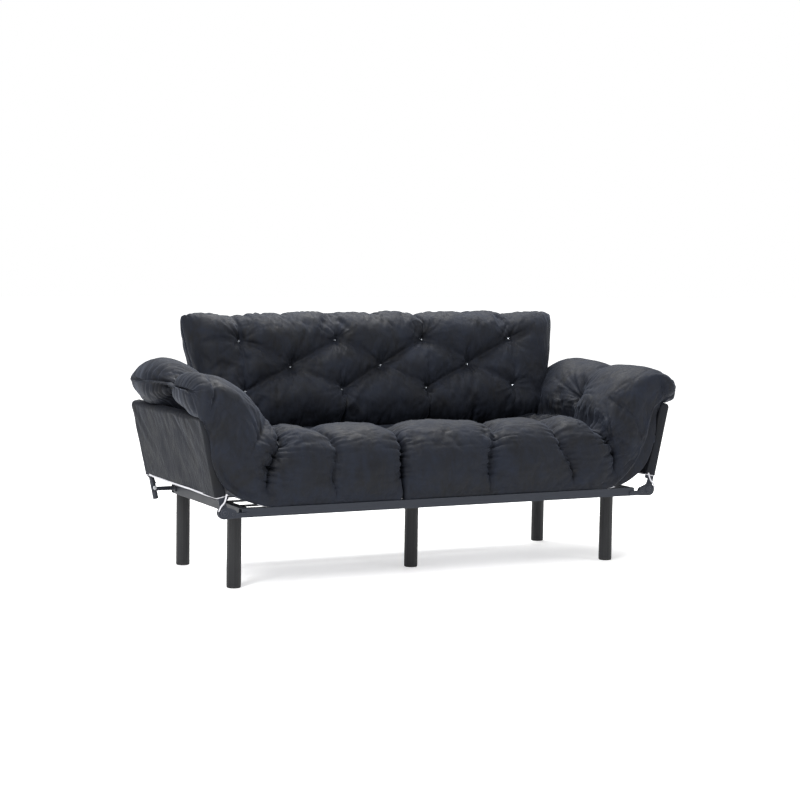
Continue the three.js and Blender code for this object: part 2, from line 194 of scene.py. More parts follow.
MATERIALS = {
    "frame_paint": painted("frame_paint", (0.013, 0.016, 0.024), 0.45, 900, 0.35),
    "leg_paint": painted("leg_paint", (0.012, 0.0125, 0.014), 0.5, 700, 0.15),
    "slat_paint": painted("slat_paint", (0.012, 0.013, 0.016), 0.4, 900, 0.2),
    "bare_steel": painted("bare_steel", (0.5, 0.51, 0.53), 0.3, 1200, 0.3),
    "foot_plastic": painted("foot_plastic", (0.015, 0.015, 0.016), 0.6, 500, 0.1),
    "lining": painted("lining", (0.50, 0.50, 0.53), 0.9, 1600, 0.0),
    "crystal": painted("crystal", (0.62, 0.66, 0.72), 0.14, 300, 0.2),
    "velvet": velvet("velvet", (0.0016, 0.0020, 0.0036), (0.0088, 0.0118, 0.0205), 0.075),
    # cover_velvet is the mattress velvet with a darker light tone and less sheen: painted shade that keeps the arm
    # covers darker than the pad
    "cover_velvet": velvet("cover_velvet", (0.0016, 0.0020, 0.0032), (0.0060, 0.0075, 0.0122), 0.037),
}
for metal, amount in (("bare_steel", 0.9), ("crystal", 0.75)):
    MATERIALS[metal].node_tree.nodes["Principled BSDF"].inputs["Metallic"].default_value = amount

SLOT_OF = {part["node"]: part["material_slot"] for part in frame["record"]["subparts"]}
for name, node in frame["nodes"].items():
    node.data.materials.clear()
    node.data.materials.append(MATERIALS[SLOT_OF[name]])


# ---- soft goods: shared helpers ----
RANDOM = np.random.default_rng(7)
SHUFFLE = RANDOM.permutation(256)
HEIGHTS = RANDOM.uniform(-1, 1, 256)
SIM_FRAMES = 14
CLOTH_STEP = 0.009
PIN_LEVELS = 10
TINY = 1e-9


def smooth(value, low, high):
    """0 below low, 1 above high, and a soft step between them."""
    t = np.clip((value - low) / (high - low), 0, 1)
    return t * t * (3 - 2 * t)


def resample(line, count, closed=False):
    """count points at even distances along a line of points."""
    if closed:
        line = np.vstack([line, line[:1]])
    steps = np.linalg.norm(np.diff(line, axis=0), axis=1)
    along = np.concatenate([[0], np.cumsum(steps)])
    want = np.linspace(0, along[-1], count + 1)[:-1] if closed else np.linspace(0, along[-1], count)
    return np.stack([np.interp(want, along, line[:, k]) for k in range(line.shape[1])], axis=1)


def catmull(points, count):
    """count points at even distances along a smooth curve through the given ones."""
    pts = np.array(points, float)
    pts = np.vstack([2 * pts[0] - pts[1], pts, 2 * pts[-1] - pts[-2]])
    t = np.linspace(0, 1, 24, endpoint=False)[:, None]
    fine = []
    for p0, p1, p2, p3 in zip(pts, pts[1:], pts[2:], pts[3:]):
        fine.append(0.5 * (2 * p1 + (p2 - p0) * t + (2 * p0 - 5 * p1 + 4 * p2 - p3) * t ** 2
                           + (3 * p1 - p0 - 3 * p2 + p3) * t ** 3))
    return resample(np.vstack([*fine, pts[-2:-1]]), count)


def grid_mesh(name, rows):
    """A closed mesh from rings of points; the first and last ring are closed with a fan."""
    count, around = rows.shape[:2]
    verts = rows.reshape(-1, 3).tolist()
    faces = []
    for i in range(count - 1):
        for j in range(around):
            k = (j + 1) % around
            faces.append((i * around + j, i * around + k, (i + 1) * around + k, (i + 1) * around + j))
    for ring in (0, count - 1):
        centre = len(verts)
        verts.append(rows[ring].mean(0).tolist())
        for j in range(around):
            faces.append((ring * around + j, ring * around + (j + 1) % around, centre))
    mesh = bpy.data.meshes.new(name)
    mesh.from_pydata(verts, [], faces)
    bm = bmesh.new()
    bm.from_mesh(mesh)
    bmesh.ops.recalc_face_normals(bm, faces=bm.faces)
    bm.to_mesh(mesh)
    bm.free()
    mesh.polygons.foreach_set("use_smooth", [True] * len(mesh.polygons))
    obj = bpy.data.objects.new(name, mesh)
    bpy.context.scene.collection.objects.link(obj)
    return obj


def ring_normals(rows):
    """Outward normals of a closed body that is given as rings of points."""
    along = np.gradient(rows, axis=0)
    around = np.roll(rows, -1, axis=1) - np.roll(rows, 1, axis=1)
    normal = np.cross(around, along)
    normal /= np.maximum(np.linalg.norm(normal, axis=2, keepdims=True), TINY)
    centre = rows.mean(axis=1, keepdims=True)
    return -normal if ((rows - centre) * normal).sum() < 0 else normal


def points_of(mesh):
    flat = np.empty(len(mesh.vertices) * 3)
    mesh.vertices.foreach_get("co", flat)
    return flat.reshape(-1, 3)


def set_points(mesh, points):
    mesh.vertices.foreach_set("co", np.ascontiguousarray(points).ravel())
    mesh.update()


def inflate(piece, hold, pressure, slack, cap):
    """Blows the cover up by cloth simulation; hold (0 to 1 a point) pins seams and creases."""
    scene = bpy.context.scene
    start = points_of(piece.data)
    group = piece.vertex_groups.new(name="held")
    for level in range(1, PIN_LEVELS + 1):
        chosen = np.nonzero(np.round(hold * PIN_LEVELS) == level)[0]
        group.add(chosen.tolist(), level / PIN_LEVELS, "REPLACE")
    cloth = piece.modifiers.new("inflate", "CLOTH")
    settings = cloth.settings
    settings.quality = 4
    settings.mass = 0.25
    settings.tension_stiffness = settings.compression_stiffness = 12
    settings.shear_stiffness = 4
    settings.bending_stiffness = 0.25
    settings.use_pressure = True
    settings.uniform_pressure_force = pressure
    settings.shrink_min = -slack
    settings.vertex_group_mass = group.name
    settings.pin_stiffness = 1
    settings.effector_weights.gravity = 0
    cloth.collision_settings.use_collision = False
    cloth.point_cache.frame_start = 1
    cloth.point_cache.frame_end = SIM_FRAMES
    for step in range(1, SIM_FRAMES + 1):
        scene.frame_set(step)
    moved = points_of(piece.evaluated_get(bpy.context.evaluated_depsgraph_get()).data) - start
    length = np.linalg.norm(moved, axis=1, keepdims=True)
    moved *= np.minimum(1, cap / np.maximum(length, TINY))
    piece.modifiers.remove(cloth)
    piece.vertex_groups.remove(group)
    scene.frame_set(1)
    set_points(piece.data, start + moved)


def keep(piece, name, values):
    """Stores a vector at each ring point; the two closing centre points get zeros."""
    values = np.vstack([values, np.zeros((2, 3))])
    piece.data.attributes.new(name, "FLOAT_VECTOR", "POINT").data.foreach_set("vector", values.ravel())


def kept(piece, name):
    """Takes a stored vector back off the mesh."""
    values = np.empty(len(piece.data.vertices) * 3)
    piece.data.attributes[name].data.foreach_get("vector", values)
    piece.data.attributes.remove(piece.data.attributes[name])
    return values.reshape(-1, 3)


def refine(piece):
    """Subdivides the mesh once for good; stored vectors go with it."""
    piece.modifiers.new("round", "SUBSURF").levels = 1
    coarse = piece.data
    fine = bpy.data.meshes.new_from_object(piece.evaluated_get(bpy.context.evaluated_depsgraph_get()))
    piece.modifiers.clear()
    piece.data = fine
    bpy.data.meshes.remove(coarse)
    fine.name = piece.name
    fine.polygons.foreach_set("use_smooth", [True] * len(fine.polygons))


def noise_field(points, octaves):
    """Smooth lattice noise, from about -1 to 1, at every point."""
    total = np.zeros(len(points))
    for octave in range(octaves):
        p = points * 2 ** octave + 31.7 * octave
        cell = np.floor(p).astype(int)
        t = p - cell
        t = t * t * (3 - 2 * t)
        for corner in np.ndindex(2, 2, 2):
            x, y, z = (cell + corner).T & 255
            key = SHUFFLE[(SHUFFLE[(SHUFFLE[x] + y) & 255] + z) & 255]
            total += HEIGHTS[key] * np.prod(np.where(corner, t, 1 - t), axis=1) / 2 ** octave
    return total


def folded(points):
    """Creased noise: rounded folds that meet in sharp valleys."""
    return np.minimum(np.abs(noise_field(points, 2)) * 2.4, 1.2) - 0.6


def radial_gathers(dx, dy, height, reach, seed=0):
    """Folds that run out from a tuft at (0, 0) and die away."""
    r = np.maximum(np.hypot(dx, dy), 0.002)
    turn = np.stack([3.2 * dx / r, 3.2 * dy / r, r * 5 + 3 * seed], axis=1)
    return height * folded(turn) * np.exp(-r / reach) * smooth(r, 0.006, 0.022)


def push_out(piece, amount):
    """Moves every point along its normal."""
    normals = np.empty(len(piece.data.vertices) * 3)
    piece.data.vertex_normals.foreach_get("vector", normals)
    set_points(piece.data, points_of(piece.data) + normals.reshape(-1, 3) * amount[:, None])


# ---- futon mattress: one tufted pad over seat and arms ----
# Stations from the roll over the arm to the seat, in metres: underside (x, z), then top side (x, z),
# then how far the front face's lower edge is carried sideways and up, round the panel's front edge.
LEFT_STATIONS = [
    ((-0.972, 0.676), (-0.972, 0.679), (0.002, 0.000)),
    ((-0.964, 0.634), (-0.962, 0.718), (0.004, -0.008)),
    ((-0.934, 0.602), (-0.920, 0.753), (-0.016, -0.016)),
    ((-0.888, 0.592), (-0.852, 0.754), (-0.042, -0.034)),
    ((-0.878, 0.530), (-0.766, 0.712), (-0.028, -0.012)),
    ((-0.867, 0.440), (-0.702, 0.650), (-0.024, -0.006)),
    ((-0.832, 0.356), (-0.664, 0.594), (-0.010, 0.000)),
    ((-0.742, 0.304), (-0.638, 0.552), (0, 0)),
    ((-0.660, 0.292), (-0.604, 0.548), (0, 0)),
    ((-0.582, 0.292), (-0.560, 0.550), (0, 0)),
]
RIGHT_STATIONS = [
    ((0.966, 0.650), (0.966, 0.653), (-0.006, 0.004)),
    ((0.955, 0.615), (0.957, 0.692), (-0.010, 0.010)),
    ((0.926, 0.603), (0.914, 0.721), (-0.010, 0.006)),
    ((0.890, 0.574), (0.842, 0.730), (-0.020, 0.004)),
    ((0.878, 0.530), (0.770, 0.702), (-0.036, 0.004)),
    ((0.866, 0.450), (0.712, 0.650), (-0.048, 0.010)),
    ((0.826, 0.366), (0.670, 0.598), (-0.052, 0.014)),
    ((0.742, 0.308), (0.638, 0.552), (-0.034, 0.006)),
    ((0.668, 0.292), (0.604, 0.548), (0, 0)),
    ((0.590, 0.292), (0.560, 0.550), (0, 0)),
]
STATIONS = {"left": LEFT_STATIONS, "right": RIGHT_STATIONS}

# the seat, and the section of the pad
SEAT_TOP = 0.545
SEAT_UNDER = 0.292
SEAT_STEP = 0.06
REAR_DROP = 0.22
SPLIT_X = -0.178
SPLIT_GAP = 0.0015
PAD_FRONT = -0.410
PAD_REAR = 0.278
PAD_MIDDLE, PAD_HALF = (PAD_REAR + PAD_FRONT) / 2, (PAD_REAR - PAD_FRONT) / 2
PAD_GIRTH = 1.86
SECTION_ROUND = 0.135
SECTION_POWER = 2.4
LIP_DEPTH = 0.021
SEAT_EDGE_ROUND = 0.35
FRONT_SAG = 0.0105
LAY_HEIGHT = 0.25

# creases and tufts; each front crease has its x, its strength, and its lean from foot to top
TUFT_ROW = -0.075
FRONT_CREASES = {"left": ((-0.454, 0.60, 0.0),), "right": ((0.189, 1.0, -0.045), (0.508, 0.9, 0.095))}
FOLD_X = {"left": -0.640, "right": 0.640}
FOLD_STRENGTH, SPLIT_STRENGTH, ARM_TUFT_STRENGTH = 1.15, 0.9, 0.07
FOLD_KNOT = 0.19
TUFT_X = {"left": -0.680, "right": 0.700}
ARM_TUFT = {"left": (0.052, 0.046), "right": (0.066, 0.064)}
SEAT_TUFT = (0.040, 0.038)
COLUMN_BROAD, COLUMN_SHARP, SHARP_REACH = 0.038, 0.017, 0.009
LEAN_REACH = 0.13
ROW_DEPTH, VALLEY_DEPTH, ROW_REACH = 0.044, 0.064, 0.066
VALLEY = {"left": 1.3, "right": 0.25}
PIN_CREASE, PIN_VALLEY = 0.008, 0.010
INSET = 0.010
LINING_FROM, LINING_SHARE = 0.42, 0.004

# the roll over the arm, and the panel that it lies on, in the arm's frame
ROLL_CORE = 0.085
ROLL_ROUND, ROLL_SHRINK = 0.06, 0.12
LOBE_DROP = {"left": 0.030, "right": 0.0}
TIP_STEPS = np.array([0, 0.12, 0.35, 0.70, 1.2, 1.9])
ARM_PIVOT = 0.849, 0.280
ARM_LEAN = math.radians(12)
PANEL_IN, PANEL_OUT = 0.0235, -0.0205
PANEL_TOP, PANEL_LOW = 0.329, 0.050
PANEL_FRONT = -0.3895

# fine folds: height, how close they lie along, across and up the pad, and where their noise starts
FOLDS_AT_CREASES = 0.0074, (7, 46, 46), 0
FOLDS_AT_TUFT_ROW = 0.0064, (44, 7, 18), 7
FOLDS_IN_VALLEY = 0.0066, (4, 56, 8), 0
FOLDS_ALL_OVER = 0.0017, (16, 30, 24), 3


def section_loop(square_front):
    """A closed section in (depth, share of thickness, lip): flat top and underside, full front and rear.

    square_front brings the underside right up to the panel's front edge and round it.
    """
    flat = PAD_HALF - SECTION_ROUND
    quarter = np.linspace(0, math.pi / 2, 24)
    out = flat + SECTION_ROUND * np.cos(quarter) ** (2 / SECTION_POWER)
    up = 0.5 * np.sin(quarter) ** (2 / SECTION_POWER)
    none = np.zeros_like(out)
    rear_top = np.stack([out, 0.5 + up, none], 1)
    front_top = np.stack([-out[::-1], 0.5 + up[::-1], none], 1)
    front_low = np.stack([-out, 0.5 - up, none], 1)
    rear_low = np.stack([out[::-1], 0.5 - up[::-1], none], 1)
    if square_front:
        turn = np.linspace(0, math.pi / 2, 14)
        edge = -PAD_HALF + LIP_DEPTH
        face = np.stack([-PAD_HALF + LIP_DEPTH * (1 - np.cos(turn)) ** 1.5,
                         0.5 - 0.5 * np.sin(turn) ** 0.8, np.sin(turn) ** 1.2], 1)
        level = np.stack([np.linspace(edge + 0.01, -flat, 10), np.zeros(10), np.zeros(10)], 1)
        front_low = np.vstack([face, [(edge, 0, 0.5), (edge, 0, 0)], level])
    loop = np.vstack([rear_top, front_top, front_low[1:], rear_low[:-1]])
    loop[:, 0] += PAD_MIDDLE
    return loop


def pillow(share, power=2.3):
    """0 at a cell's edges and 1 across its middle, steep at the edges like a stuffed cell."""
    edge = np.abs(2 * np.clip(share, 0, 1) - 1)
    return np.clip(1 - edge ** power, 0, 1) ** 0.5


def arm_frame(points, side):
    """Inboard and upward distance from the arm's pivot, along the leaning panel."""
    out, up = points[..., 0] * SIGN[side] - ARM_PIVOT[0], points[..., 2] - ARM_PIVOT[1]
    c, s = math.cos(ARM_LEAN), math.sin(ARM_LEAN)
    return -out * c + up * s, out * s + up * c


def from_arm_frame(inboard, upward, side):
    """The x and z of a place that is given in the arm's frame."""
    c, s = math.cos(ARM_LEAN), math.sin(ARM_LEAN)
    x = SIGN[side] * (ARM_PIVOT[0] - inboard * c + upward * s)
    return x, ARM_PIVOT[1] + inboard * s + upward * c


def mattress_stations(side):
    """Underside, top side and lip at even distances from the roll's tip to the split."""
    sign = SIGN[side]
    stop = SPLIT_X + sign * SPLIT_GAP
    across_seat = sign * np.arange(0.52, -0.4, -SEAT_STEP)
    seat_x = [x for x in across_seat if (x - stop) * sign > SEAT_STEP / 2] + [stop]
    points = [(*under, *top, *lip) for under, top, lip in STATIONS[side]]
    points += [(x, SEAT_UNDER, x, SEAT_TOP, 0, 0) for x in seat_x]
    fine = catmull(points, 3000)
    steps = np.linalg.norm(np.diff((fine[:, :2] + fine[:, 2:4]) / 2, axis=0), axis=1)
    along = np.concatenate([[0], np.cumsum(steps)])
    tip = CLOTH_STEP * TIP_STEPS
    want = np.concatenate([tip, np.linspace(tip[-1], along[-1], int(along[-1] / CLOTH_STEP))[1:]])
    return np.stack([np.interp(want, along, fine[:, k]) for k in range(6)], axis=1), want


def front_overhang(depth):
    """1 over the front rail, and 0 from the first deck bar back."""
    return smooth(depth, -0.350, -0.378)


def mattress_body(side):
    """The smooth body of one half, before its creases: rings of points from roll to split."""
    both, along = mattress_stations(side)
    around = int(PAD_GIRTH / CLOTH_STEP)
    thick = np.array([1, LAY_HEIGHT, 0.06])
    plain, square = (resample(section_loop(form) * thick, around, closed=True) / thick
                     for form in (False, True))
    squareness = (1 - SEAT_EDGE_ROUND * smooth(along, 0.36, 0.52))[:, None, None]
    section = plain + (square - plain) * squareness
    depth, share, lip = (section[:, :, k] for k in range(3))
    rows = np.zeros((len(both), around, 3))
    under, top, bulge = (both[:, None, k:k + 2] for k in (0, 2, 4))
    rows[:, :, 0::2] = under + (top - under) * share[:, :, None] + bulge * lip[:, :, None]
    drop = REAR_DROP * smooth(rows[:, :, 0] * SIGN[side], 0.66, 0.56)
    drop *= smooth(depth, TUFT_ROW - 0.06, TUFT_ROW + 0.10)
    rows[:, :, 2] -= drop * (rows[:, :, 2] - SEAT_UNDER)
    seat_part = smooth(along, 0.40, 0.50)[:, None]
    rows[:, :, 2] -= FRONT_SAG * seat_part * (1 - share) * front_overhang(depth)
    lobe = smooth(along, 0.01, 0.08) * (1 - smooth(along, 0.28, 0.42))
    rows[:, :, 2] -= LOBE_DROP[side] * lobe[:, None] * share * smooth(depth, -0.06, -0.20)
    tip = np.clip(along / ROLL_ROUND, 0, 1)
    shrink = 1 - ROLL_SHRINK * (1 - np.sqrt(1 - (1 - tip) ** 2))
    rows[:, :, 1] = PAD_MIDDLE + (depth - PAD_MIDDLE) * shrink[:, None]
    return rows, along, both, share, depth


def crease_lines(side, along, both):
    """Where each crease lies along the pad, with its strength; the leans; the arm's tuft and its fold."""
    def at(x, highest):
        return along[np.argmin(np.abs(both[:, 2] - x) + 10 * (both[:, 3] > highest))]

    tuft, fold = at(TUFT_X[side], 0.68), at(FOLD_X[side], 0.60)
    strength = {0.0: 0.0, tuft: ARM_TUFT_STRENGTH, fold: FOLD_STRENGTH, along[-1]: SPLIT_STRENGTH}
    leans = {}
    for x, amount, lean in FRONT_CREASES[side]:
        strength[at(x, 0.56)] = amount
        leans[at(x, 0.56)] = lean
    return strength, leans, tuft, fold


def crease_depths(side, along, both, share, depth):
    """How far each point is drawn in by the column creases, the tuft row and the tufts.

    Also how firmly each point is pinned, where the fine folds gather, and where the tuft and fold are.
    """
    strength, leans, where_tuft, where_fold = crease_lines(side, along, both)
    edges = np.array(sorted(strength))
    amount = np.array([strength[e] for e in edges])
    s, v, y = along[:, None], share, depth
    wander = 0.012 * np.sin(y * 9 + 3 * s) + 0.006 * np.sin(y * 23 + 1)
    for edge, lean in leans.items():
        wander = wander - lean * (v - 0.5) * np.exp(-((s - edge) / LEAN_REACH) ** 2)
    wander += 0.007 * np.sin(9 * v + 7 * s)
    s = s + wander * smooth(s, 0.02, 0.1) * smooth(along[-1] - s, 0.0, 0.1)

    i = np.clip(np.searchsorted(edges, s) - 1, 0, len(edges) - 2)
    t = (s - edges[i]) / (edges[i + 1] - edges[i])
    near = np.where(t < 0.5, amount[i], amount[i + 1])
    gap = np.where(t < 0.5, s - edges[i], edges[i + 1] - s)
    upper = smooth(v, 0.04, 0.36)
    sharp = COLUMN_SHARP * np.exp(-np.abs(gap) / SHARP_REACH)
    column = (COLUMN_BROAD * (1 - pillow(t)) + sharp) * near * upper

    on_top = smooth(v, 0.55, 0.95)
    over_arm = 1 - smooth(s, 0.26, 0.40)
    around_roll = np.maximum(on_top, 1 - smooth(s, 0.10, 0.17))
    from_row = np.abs(y - TUFT_ROW)
    row = (ROW_DEPTH + (VALLEY_DEPTH * VALLEY[side] - ROW_DEPTH) * over_arm)
    row = row * np.exp(-(from_row / ROW_REACH) ** 1.4) * around_roll
    tuft = np.zeros_like(column)
    for e in edges[1:]:
        reach, deep = ARM_TUFT[side] if e == where_tuft else SEAT_TUFT
        tuft += deep * np.exp(-(np.hypot(s - e, y - TUFT_ROW) / reach) ** 1.2) * on_top

    valley = 0.8 * VALLEY[side] * over_arm * np.exp(-(from_row / PIN_VALLEY) ** 2) * around_roll
    pinned_crease = np.exp(-(np.abs(gap) / PIN_CREASE) ** 2) * near * smooth(v, 0.15, 0.5)
    held = np.maximum(valley, pinned_crease)
    held = np.maximum(held, (1 - smooth(v, 0.02, 0.10)) * smooth(s, 0.10, 0.20))
    held = np.clip(held, 0, 1) * smooth(s, 0.0, 0.012)

    at_fold = 1 + 0.9 * np.exp(-((s - where_fold) / 0.11) ** 2)
    waist = np.exp(-(np.abs(y - TUFT_ROW - 0.02) / 0.085) ** 2)
    gathers = np.stack([np.exp(-np.abs(gap) / 0.050) * near * upper * at_fold,
                        np.exp(-from_row / 0.07) * on_top * (1 - over_arm),
                        waist * over_arm * VALLEY[side]])
    drawn = column + row + tuft + INSET * (1 - held)
    return drawn, held, gathers, (where_tuft, where_fold)


def clear_of_panel(points, side):
    """Moves points that got into the arm panel back out through its nearest face."""
    inboard, upward = arm_frame(points, side)
    faces = {"in": PANEL_IN - inboard, "up": PANEL_TOP - upward, "front": points[:, 1] - PANEL_FRONT}
    inside = (inboard > PANEL_OUT) & (upward > PANEL_LOW) & np.all([f > 0 for f in faces.values()], 0)
    nearest = np.argmin(np.stack(list(faces.values())), axis=0)
    inboard = np.where(inside & (nearest == 0), PANEL_IN, inboard)
    upward = np.where(inside & (nearest == 1), PANEL_TOP, upward)
    points[:, 1] = np.where(inside & (nearest == 2), PANEL_FRONT, points[:, 1])
    points[:, 0], points[:, 2] = from_arm_frame(inboard, upward, side)
    return points


def drawn_in(rows, along, both, drawn):
    """The body with its creases drawn in along its normals, and at the tip towards the roll's middle."""
    core = np.argmin(np.abs(along - ROLL_CORE))
    middle = (both[core, :2] + both[core, 2:4]) / 2
    out = np.zeros_like(rows)
    out[:, :, 0::2] = rows[:, :, 0::2] - middle
    far = np.linalg.norm(out, axis=2, keepdims=True)
    at_tip = (1 - smooth(along, 0.35 * ROLL_CORE, 1.1 * ROLL_CORE))[:, None, None]
    way = ring_normals(rows) * (1 - at_tip) + out / np.maximum(far, 1e-6) * at_tip
    way /= np.maximum(np.linalg.norm(way, axis=2, keepdims=True), 1e-6)
    most = 0.72 * far[:, :, 0] + 10 * (1 - at_tip[:, :, 0])
    return rows - way * np.minimum(drawn, most)[:, :, None]


def fold_layer(lay, folds):
    height, closeness, start = folds
    return height * folded(lay * np.array(closeness) + start)


def mattress_folds(lay, gathers, where_tuft, where_fold):
    """Fine folds at the creases, tufts and arm hinges, and the pad's slow unevenness."""
    amount = fold_layer(lay, FOLDS_AT_CREASES) * gathers[:, 0]
    amount += fold_layer(lay, FOLDS_AT_TUFT_ROW) * gathers[:, 1]
    amount += fold_layer(lay, FOLDS_IN_VALLEY) * gathers[:, 2]
    amount += 0.0040 * noise_field(lay * 9, 3) + fold_layer(lay, FOLDS_ALL_OVER)
    at_tuft = radial_gathers(lay[:, 0] - where_tuft, lay[:, 1] - TUFT_ROW, 0.0095, 0.085)
    amount += at_tuft * (lay[:, 2] > LAY_HEIGHT / 2 + 0.005)
    fan = radial_gathers(lay[:, 0] - where_fold, 1.3 * (lay[:, 2] - FOLD_KNOT), 0.0085, 0.13, seed=4)
    amount += fan * smooth(lay[:, 1], -0.30, -0.36)
    return amount * np.maximum(smooth(lay[:, 2], 0.0, 0.03), 1 - smooth(lay[:, 0], 0.08, 0.15))


def make_mattress(side):
    """One half of the futon: drawn in, inflated, finely folded, and cleared of the deck and the panel."""
    rows, along, both, share, depth = mattress_body(side)
    drawn, held, gathers, places = crease_depths(side, along, both, share, depth)
    piece = grid_mesh(f"futon_mattress_{side}", drawn_in(rows, along, both, drawn))
    piece.data.materials.append(MATERIALS["velvet"])
    held[-1] = held[-2] = 1
    lay = np.stack([along[:, None] * np.ones_like(share), depth, share * LAY_HEIGHT], axis=2)
    keep(piece, "lay", lay.reshape(-1, 3))
    keep(piece, "gathers", np.stack(gathers, axis=2).reshape(-1, 3))
    inflate(piece, np.concatenate([held.ravel(), [0, 1]]), pressure=4, slack=0.05, cap=0.018)
    refine(piece)
    lay, gathers = kept(piece, "lay"), kept(piece, "gathers")
    piece.data.materials.append(MATERIALS["lining"])
    lined = (lay[:, 2] < LINING_SHARE) & (lay[:, 0] > LINING_FROM)
    for face in piece.data.polygons:
        face.material_index = int(all(lined[v] for v in face.vertices))
    push_out(piece, mattress_folds(lay, gathers, *places))
    points = points_of(piece.data)
    lowest = SEAT_UNDER - 0.001 - FRONT_SAG * front_overhang(points[:, 1])
    points[:, 2] = np.maximum(points[:, 2], lowest)
    set_points(piece.data, clear_of_panel(points, side))
    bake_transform(piece)
    return piece


mattress = {side: make_mattress(side) for side in SIGN}
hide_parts("mattress_seat", "mattress_arm_left")
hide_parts("mattress_arm_right")


# ---- tufted back cushion, drawn in the back frame's own (x, depth, height) ----
BACK_PIVOT = Vector(next(joint["pos_m"] for joint in frame["joints"] if joint["name"] == "back_recline"))
BACK_LEAN = math.radians(15)
CUSHION_SEAM = -0.140
CUSHION_REAR = -0.018
CUSHION_FRONT = -0.262
CUSHION_LOW = 0.152
CUSHION_HIGH = 0.588
CUSHION_MIDDLE = (CUSHION_LOW + CUSHION_HIGH) / 2
CUSHION_GIRTH = 1.15
# x of each end at the low edge and at the high edge
CUSHION_LEFT = (-0.692, -0.752)
CUSHION_RIGHT = (0.708, 0.822)
TOP_ROUND, LOW_ROUND = 0.105, 0.085
END_ROUND = 0.115
END_DROP = 0.11
PULL_BROAD, PULL_SHARP, BUTTON_DEPTH = 0.022, 0.011, 0.026
PUCKER = 0.0040
BUTTON_ROWS = {"top": (0.471, (-0.561, -0.176, 0.191, 0.574)),
               "middle": (0.373, (-0.366, 0.004, 0.380)),
               "bottom": (0.2835, (-0.554, -0.168, 0.187, 0.562))}


def to_world(points):
    """Back frame (x, depth, height) to the row frame at rest."""
    c, s = math.cos(BACK_LEAN), math.sin(BACK_LEAN)
    y = points[..., 1] * c + points[..., 2] * s + BACK_PIVOT.y
    z = -points[..., 1] * s + points[..., 2] * c + BACK_PIVOT.z
    return np.stack([points[..., 0], y, z], axis=-1)


def button_places():
    return [(x, height) for height, row in BUTTON_ROWS.values() for x in row]


def crease_segments():
    """Pulled lines of the tufting: diamonds between buttons, and straight runs to the edges."""
    top, middle, bottom = ([(x, height) for x in row] for height, row in BUTTON_ROWS.values())
    lines = []
    for i, button in enumerate(middle):
        lines.append((button, top[i + 1], 1.0))
        lines.append((button, bottom[i], 1.0))
        lines.append((button, top[i], 0.5))
        lines.append((button, bottom[i + 1], 0.5))
    lines += [(top[0], bottom[0], 0.9), (top[-1], bottom[-1], 0.5)]
    for i, (x, height) in enumerate(top):
        lines.append(((x, height), (x * 1.01, CUSHION_HIGH + 0.05), 1.0 if i == 0 else 0.6))
    for x, height in bottom:
        lines.append(((x, height), (x * 0.99, CUSHION_LOW - 0.05), 0.35))
    return lines


def segment_distance(x, z, a, b):
    """Distance of each (x, z) from the straight line between a and b."""
    (ax, az), (bx, bz) = a, b
    t = ((x - ax) * (bx - ax) + (z - az) * (bz - az)) / ((bx - ax) ** 2 + (bz - az) ** 2)
    t = np.clip(t, 0, 1)
    return np.hypot(x - ax - t * (bx - ax), z - az - t * (bz - az))


def cushion_tufting(x, z):
    """How far each front point is drawn in, and how firmly it is pinned."""
    drawn, held = np.zeros_like(x), np.zeros_like(x)
    for a, b, amount in crease_segments():
        d = segment_distance(x, z, a, b)
        broad = PULL_BROAD * np.clip(1 - d / 0.095, 0, 1) ** 1.6
        sharp = PULL_SHARP * np.exp(-d / 0.008)
        drawn = np.maximum(drawn, (broad + sharp) * amount)
        held = np.maximum(held, 0.9 * amount * np.exp(-(d / 0.006) ** 2))
    for bx, bz in button_places():
        r = np.hypot(x - bx, z - bz)
        drawn += BUTTON_DEPTH * np.exp(-(r / 0.030) ** 1.2)
        held = np.maximum(held, np.exp(-(r / 0.014) ** 4))
    return drawn, held


def cushion_loop(front, rear):
    """Section of the cushion in (depth, height), rounded more at the top than underneath."""
    quarter = np.linspace(0, math.pi / 2, 16)

    def corner(edge, level, radius, up):
        return np.stack([CUSHION_SEAM + (edge - CUSHION_SEAM) * np.sin(quarter) ** 0.85,
                         level - up * radius * (1 - np.cos(quarter) ** 0.85)], 1)

    high, low = (CUSHION_HIGH, TOP_ROUND, 1), (CUSHION_LOW, LOW_ROUND, -1)
    return np.vstack([corner(front, *high), corner(front, *low)[::-1],
                      corner(rear, *low)[1:], corner(rear, *high)[::-1][:-1]])


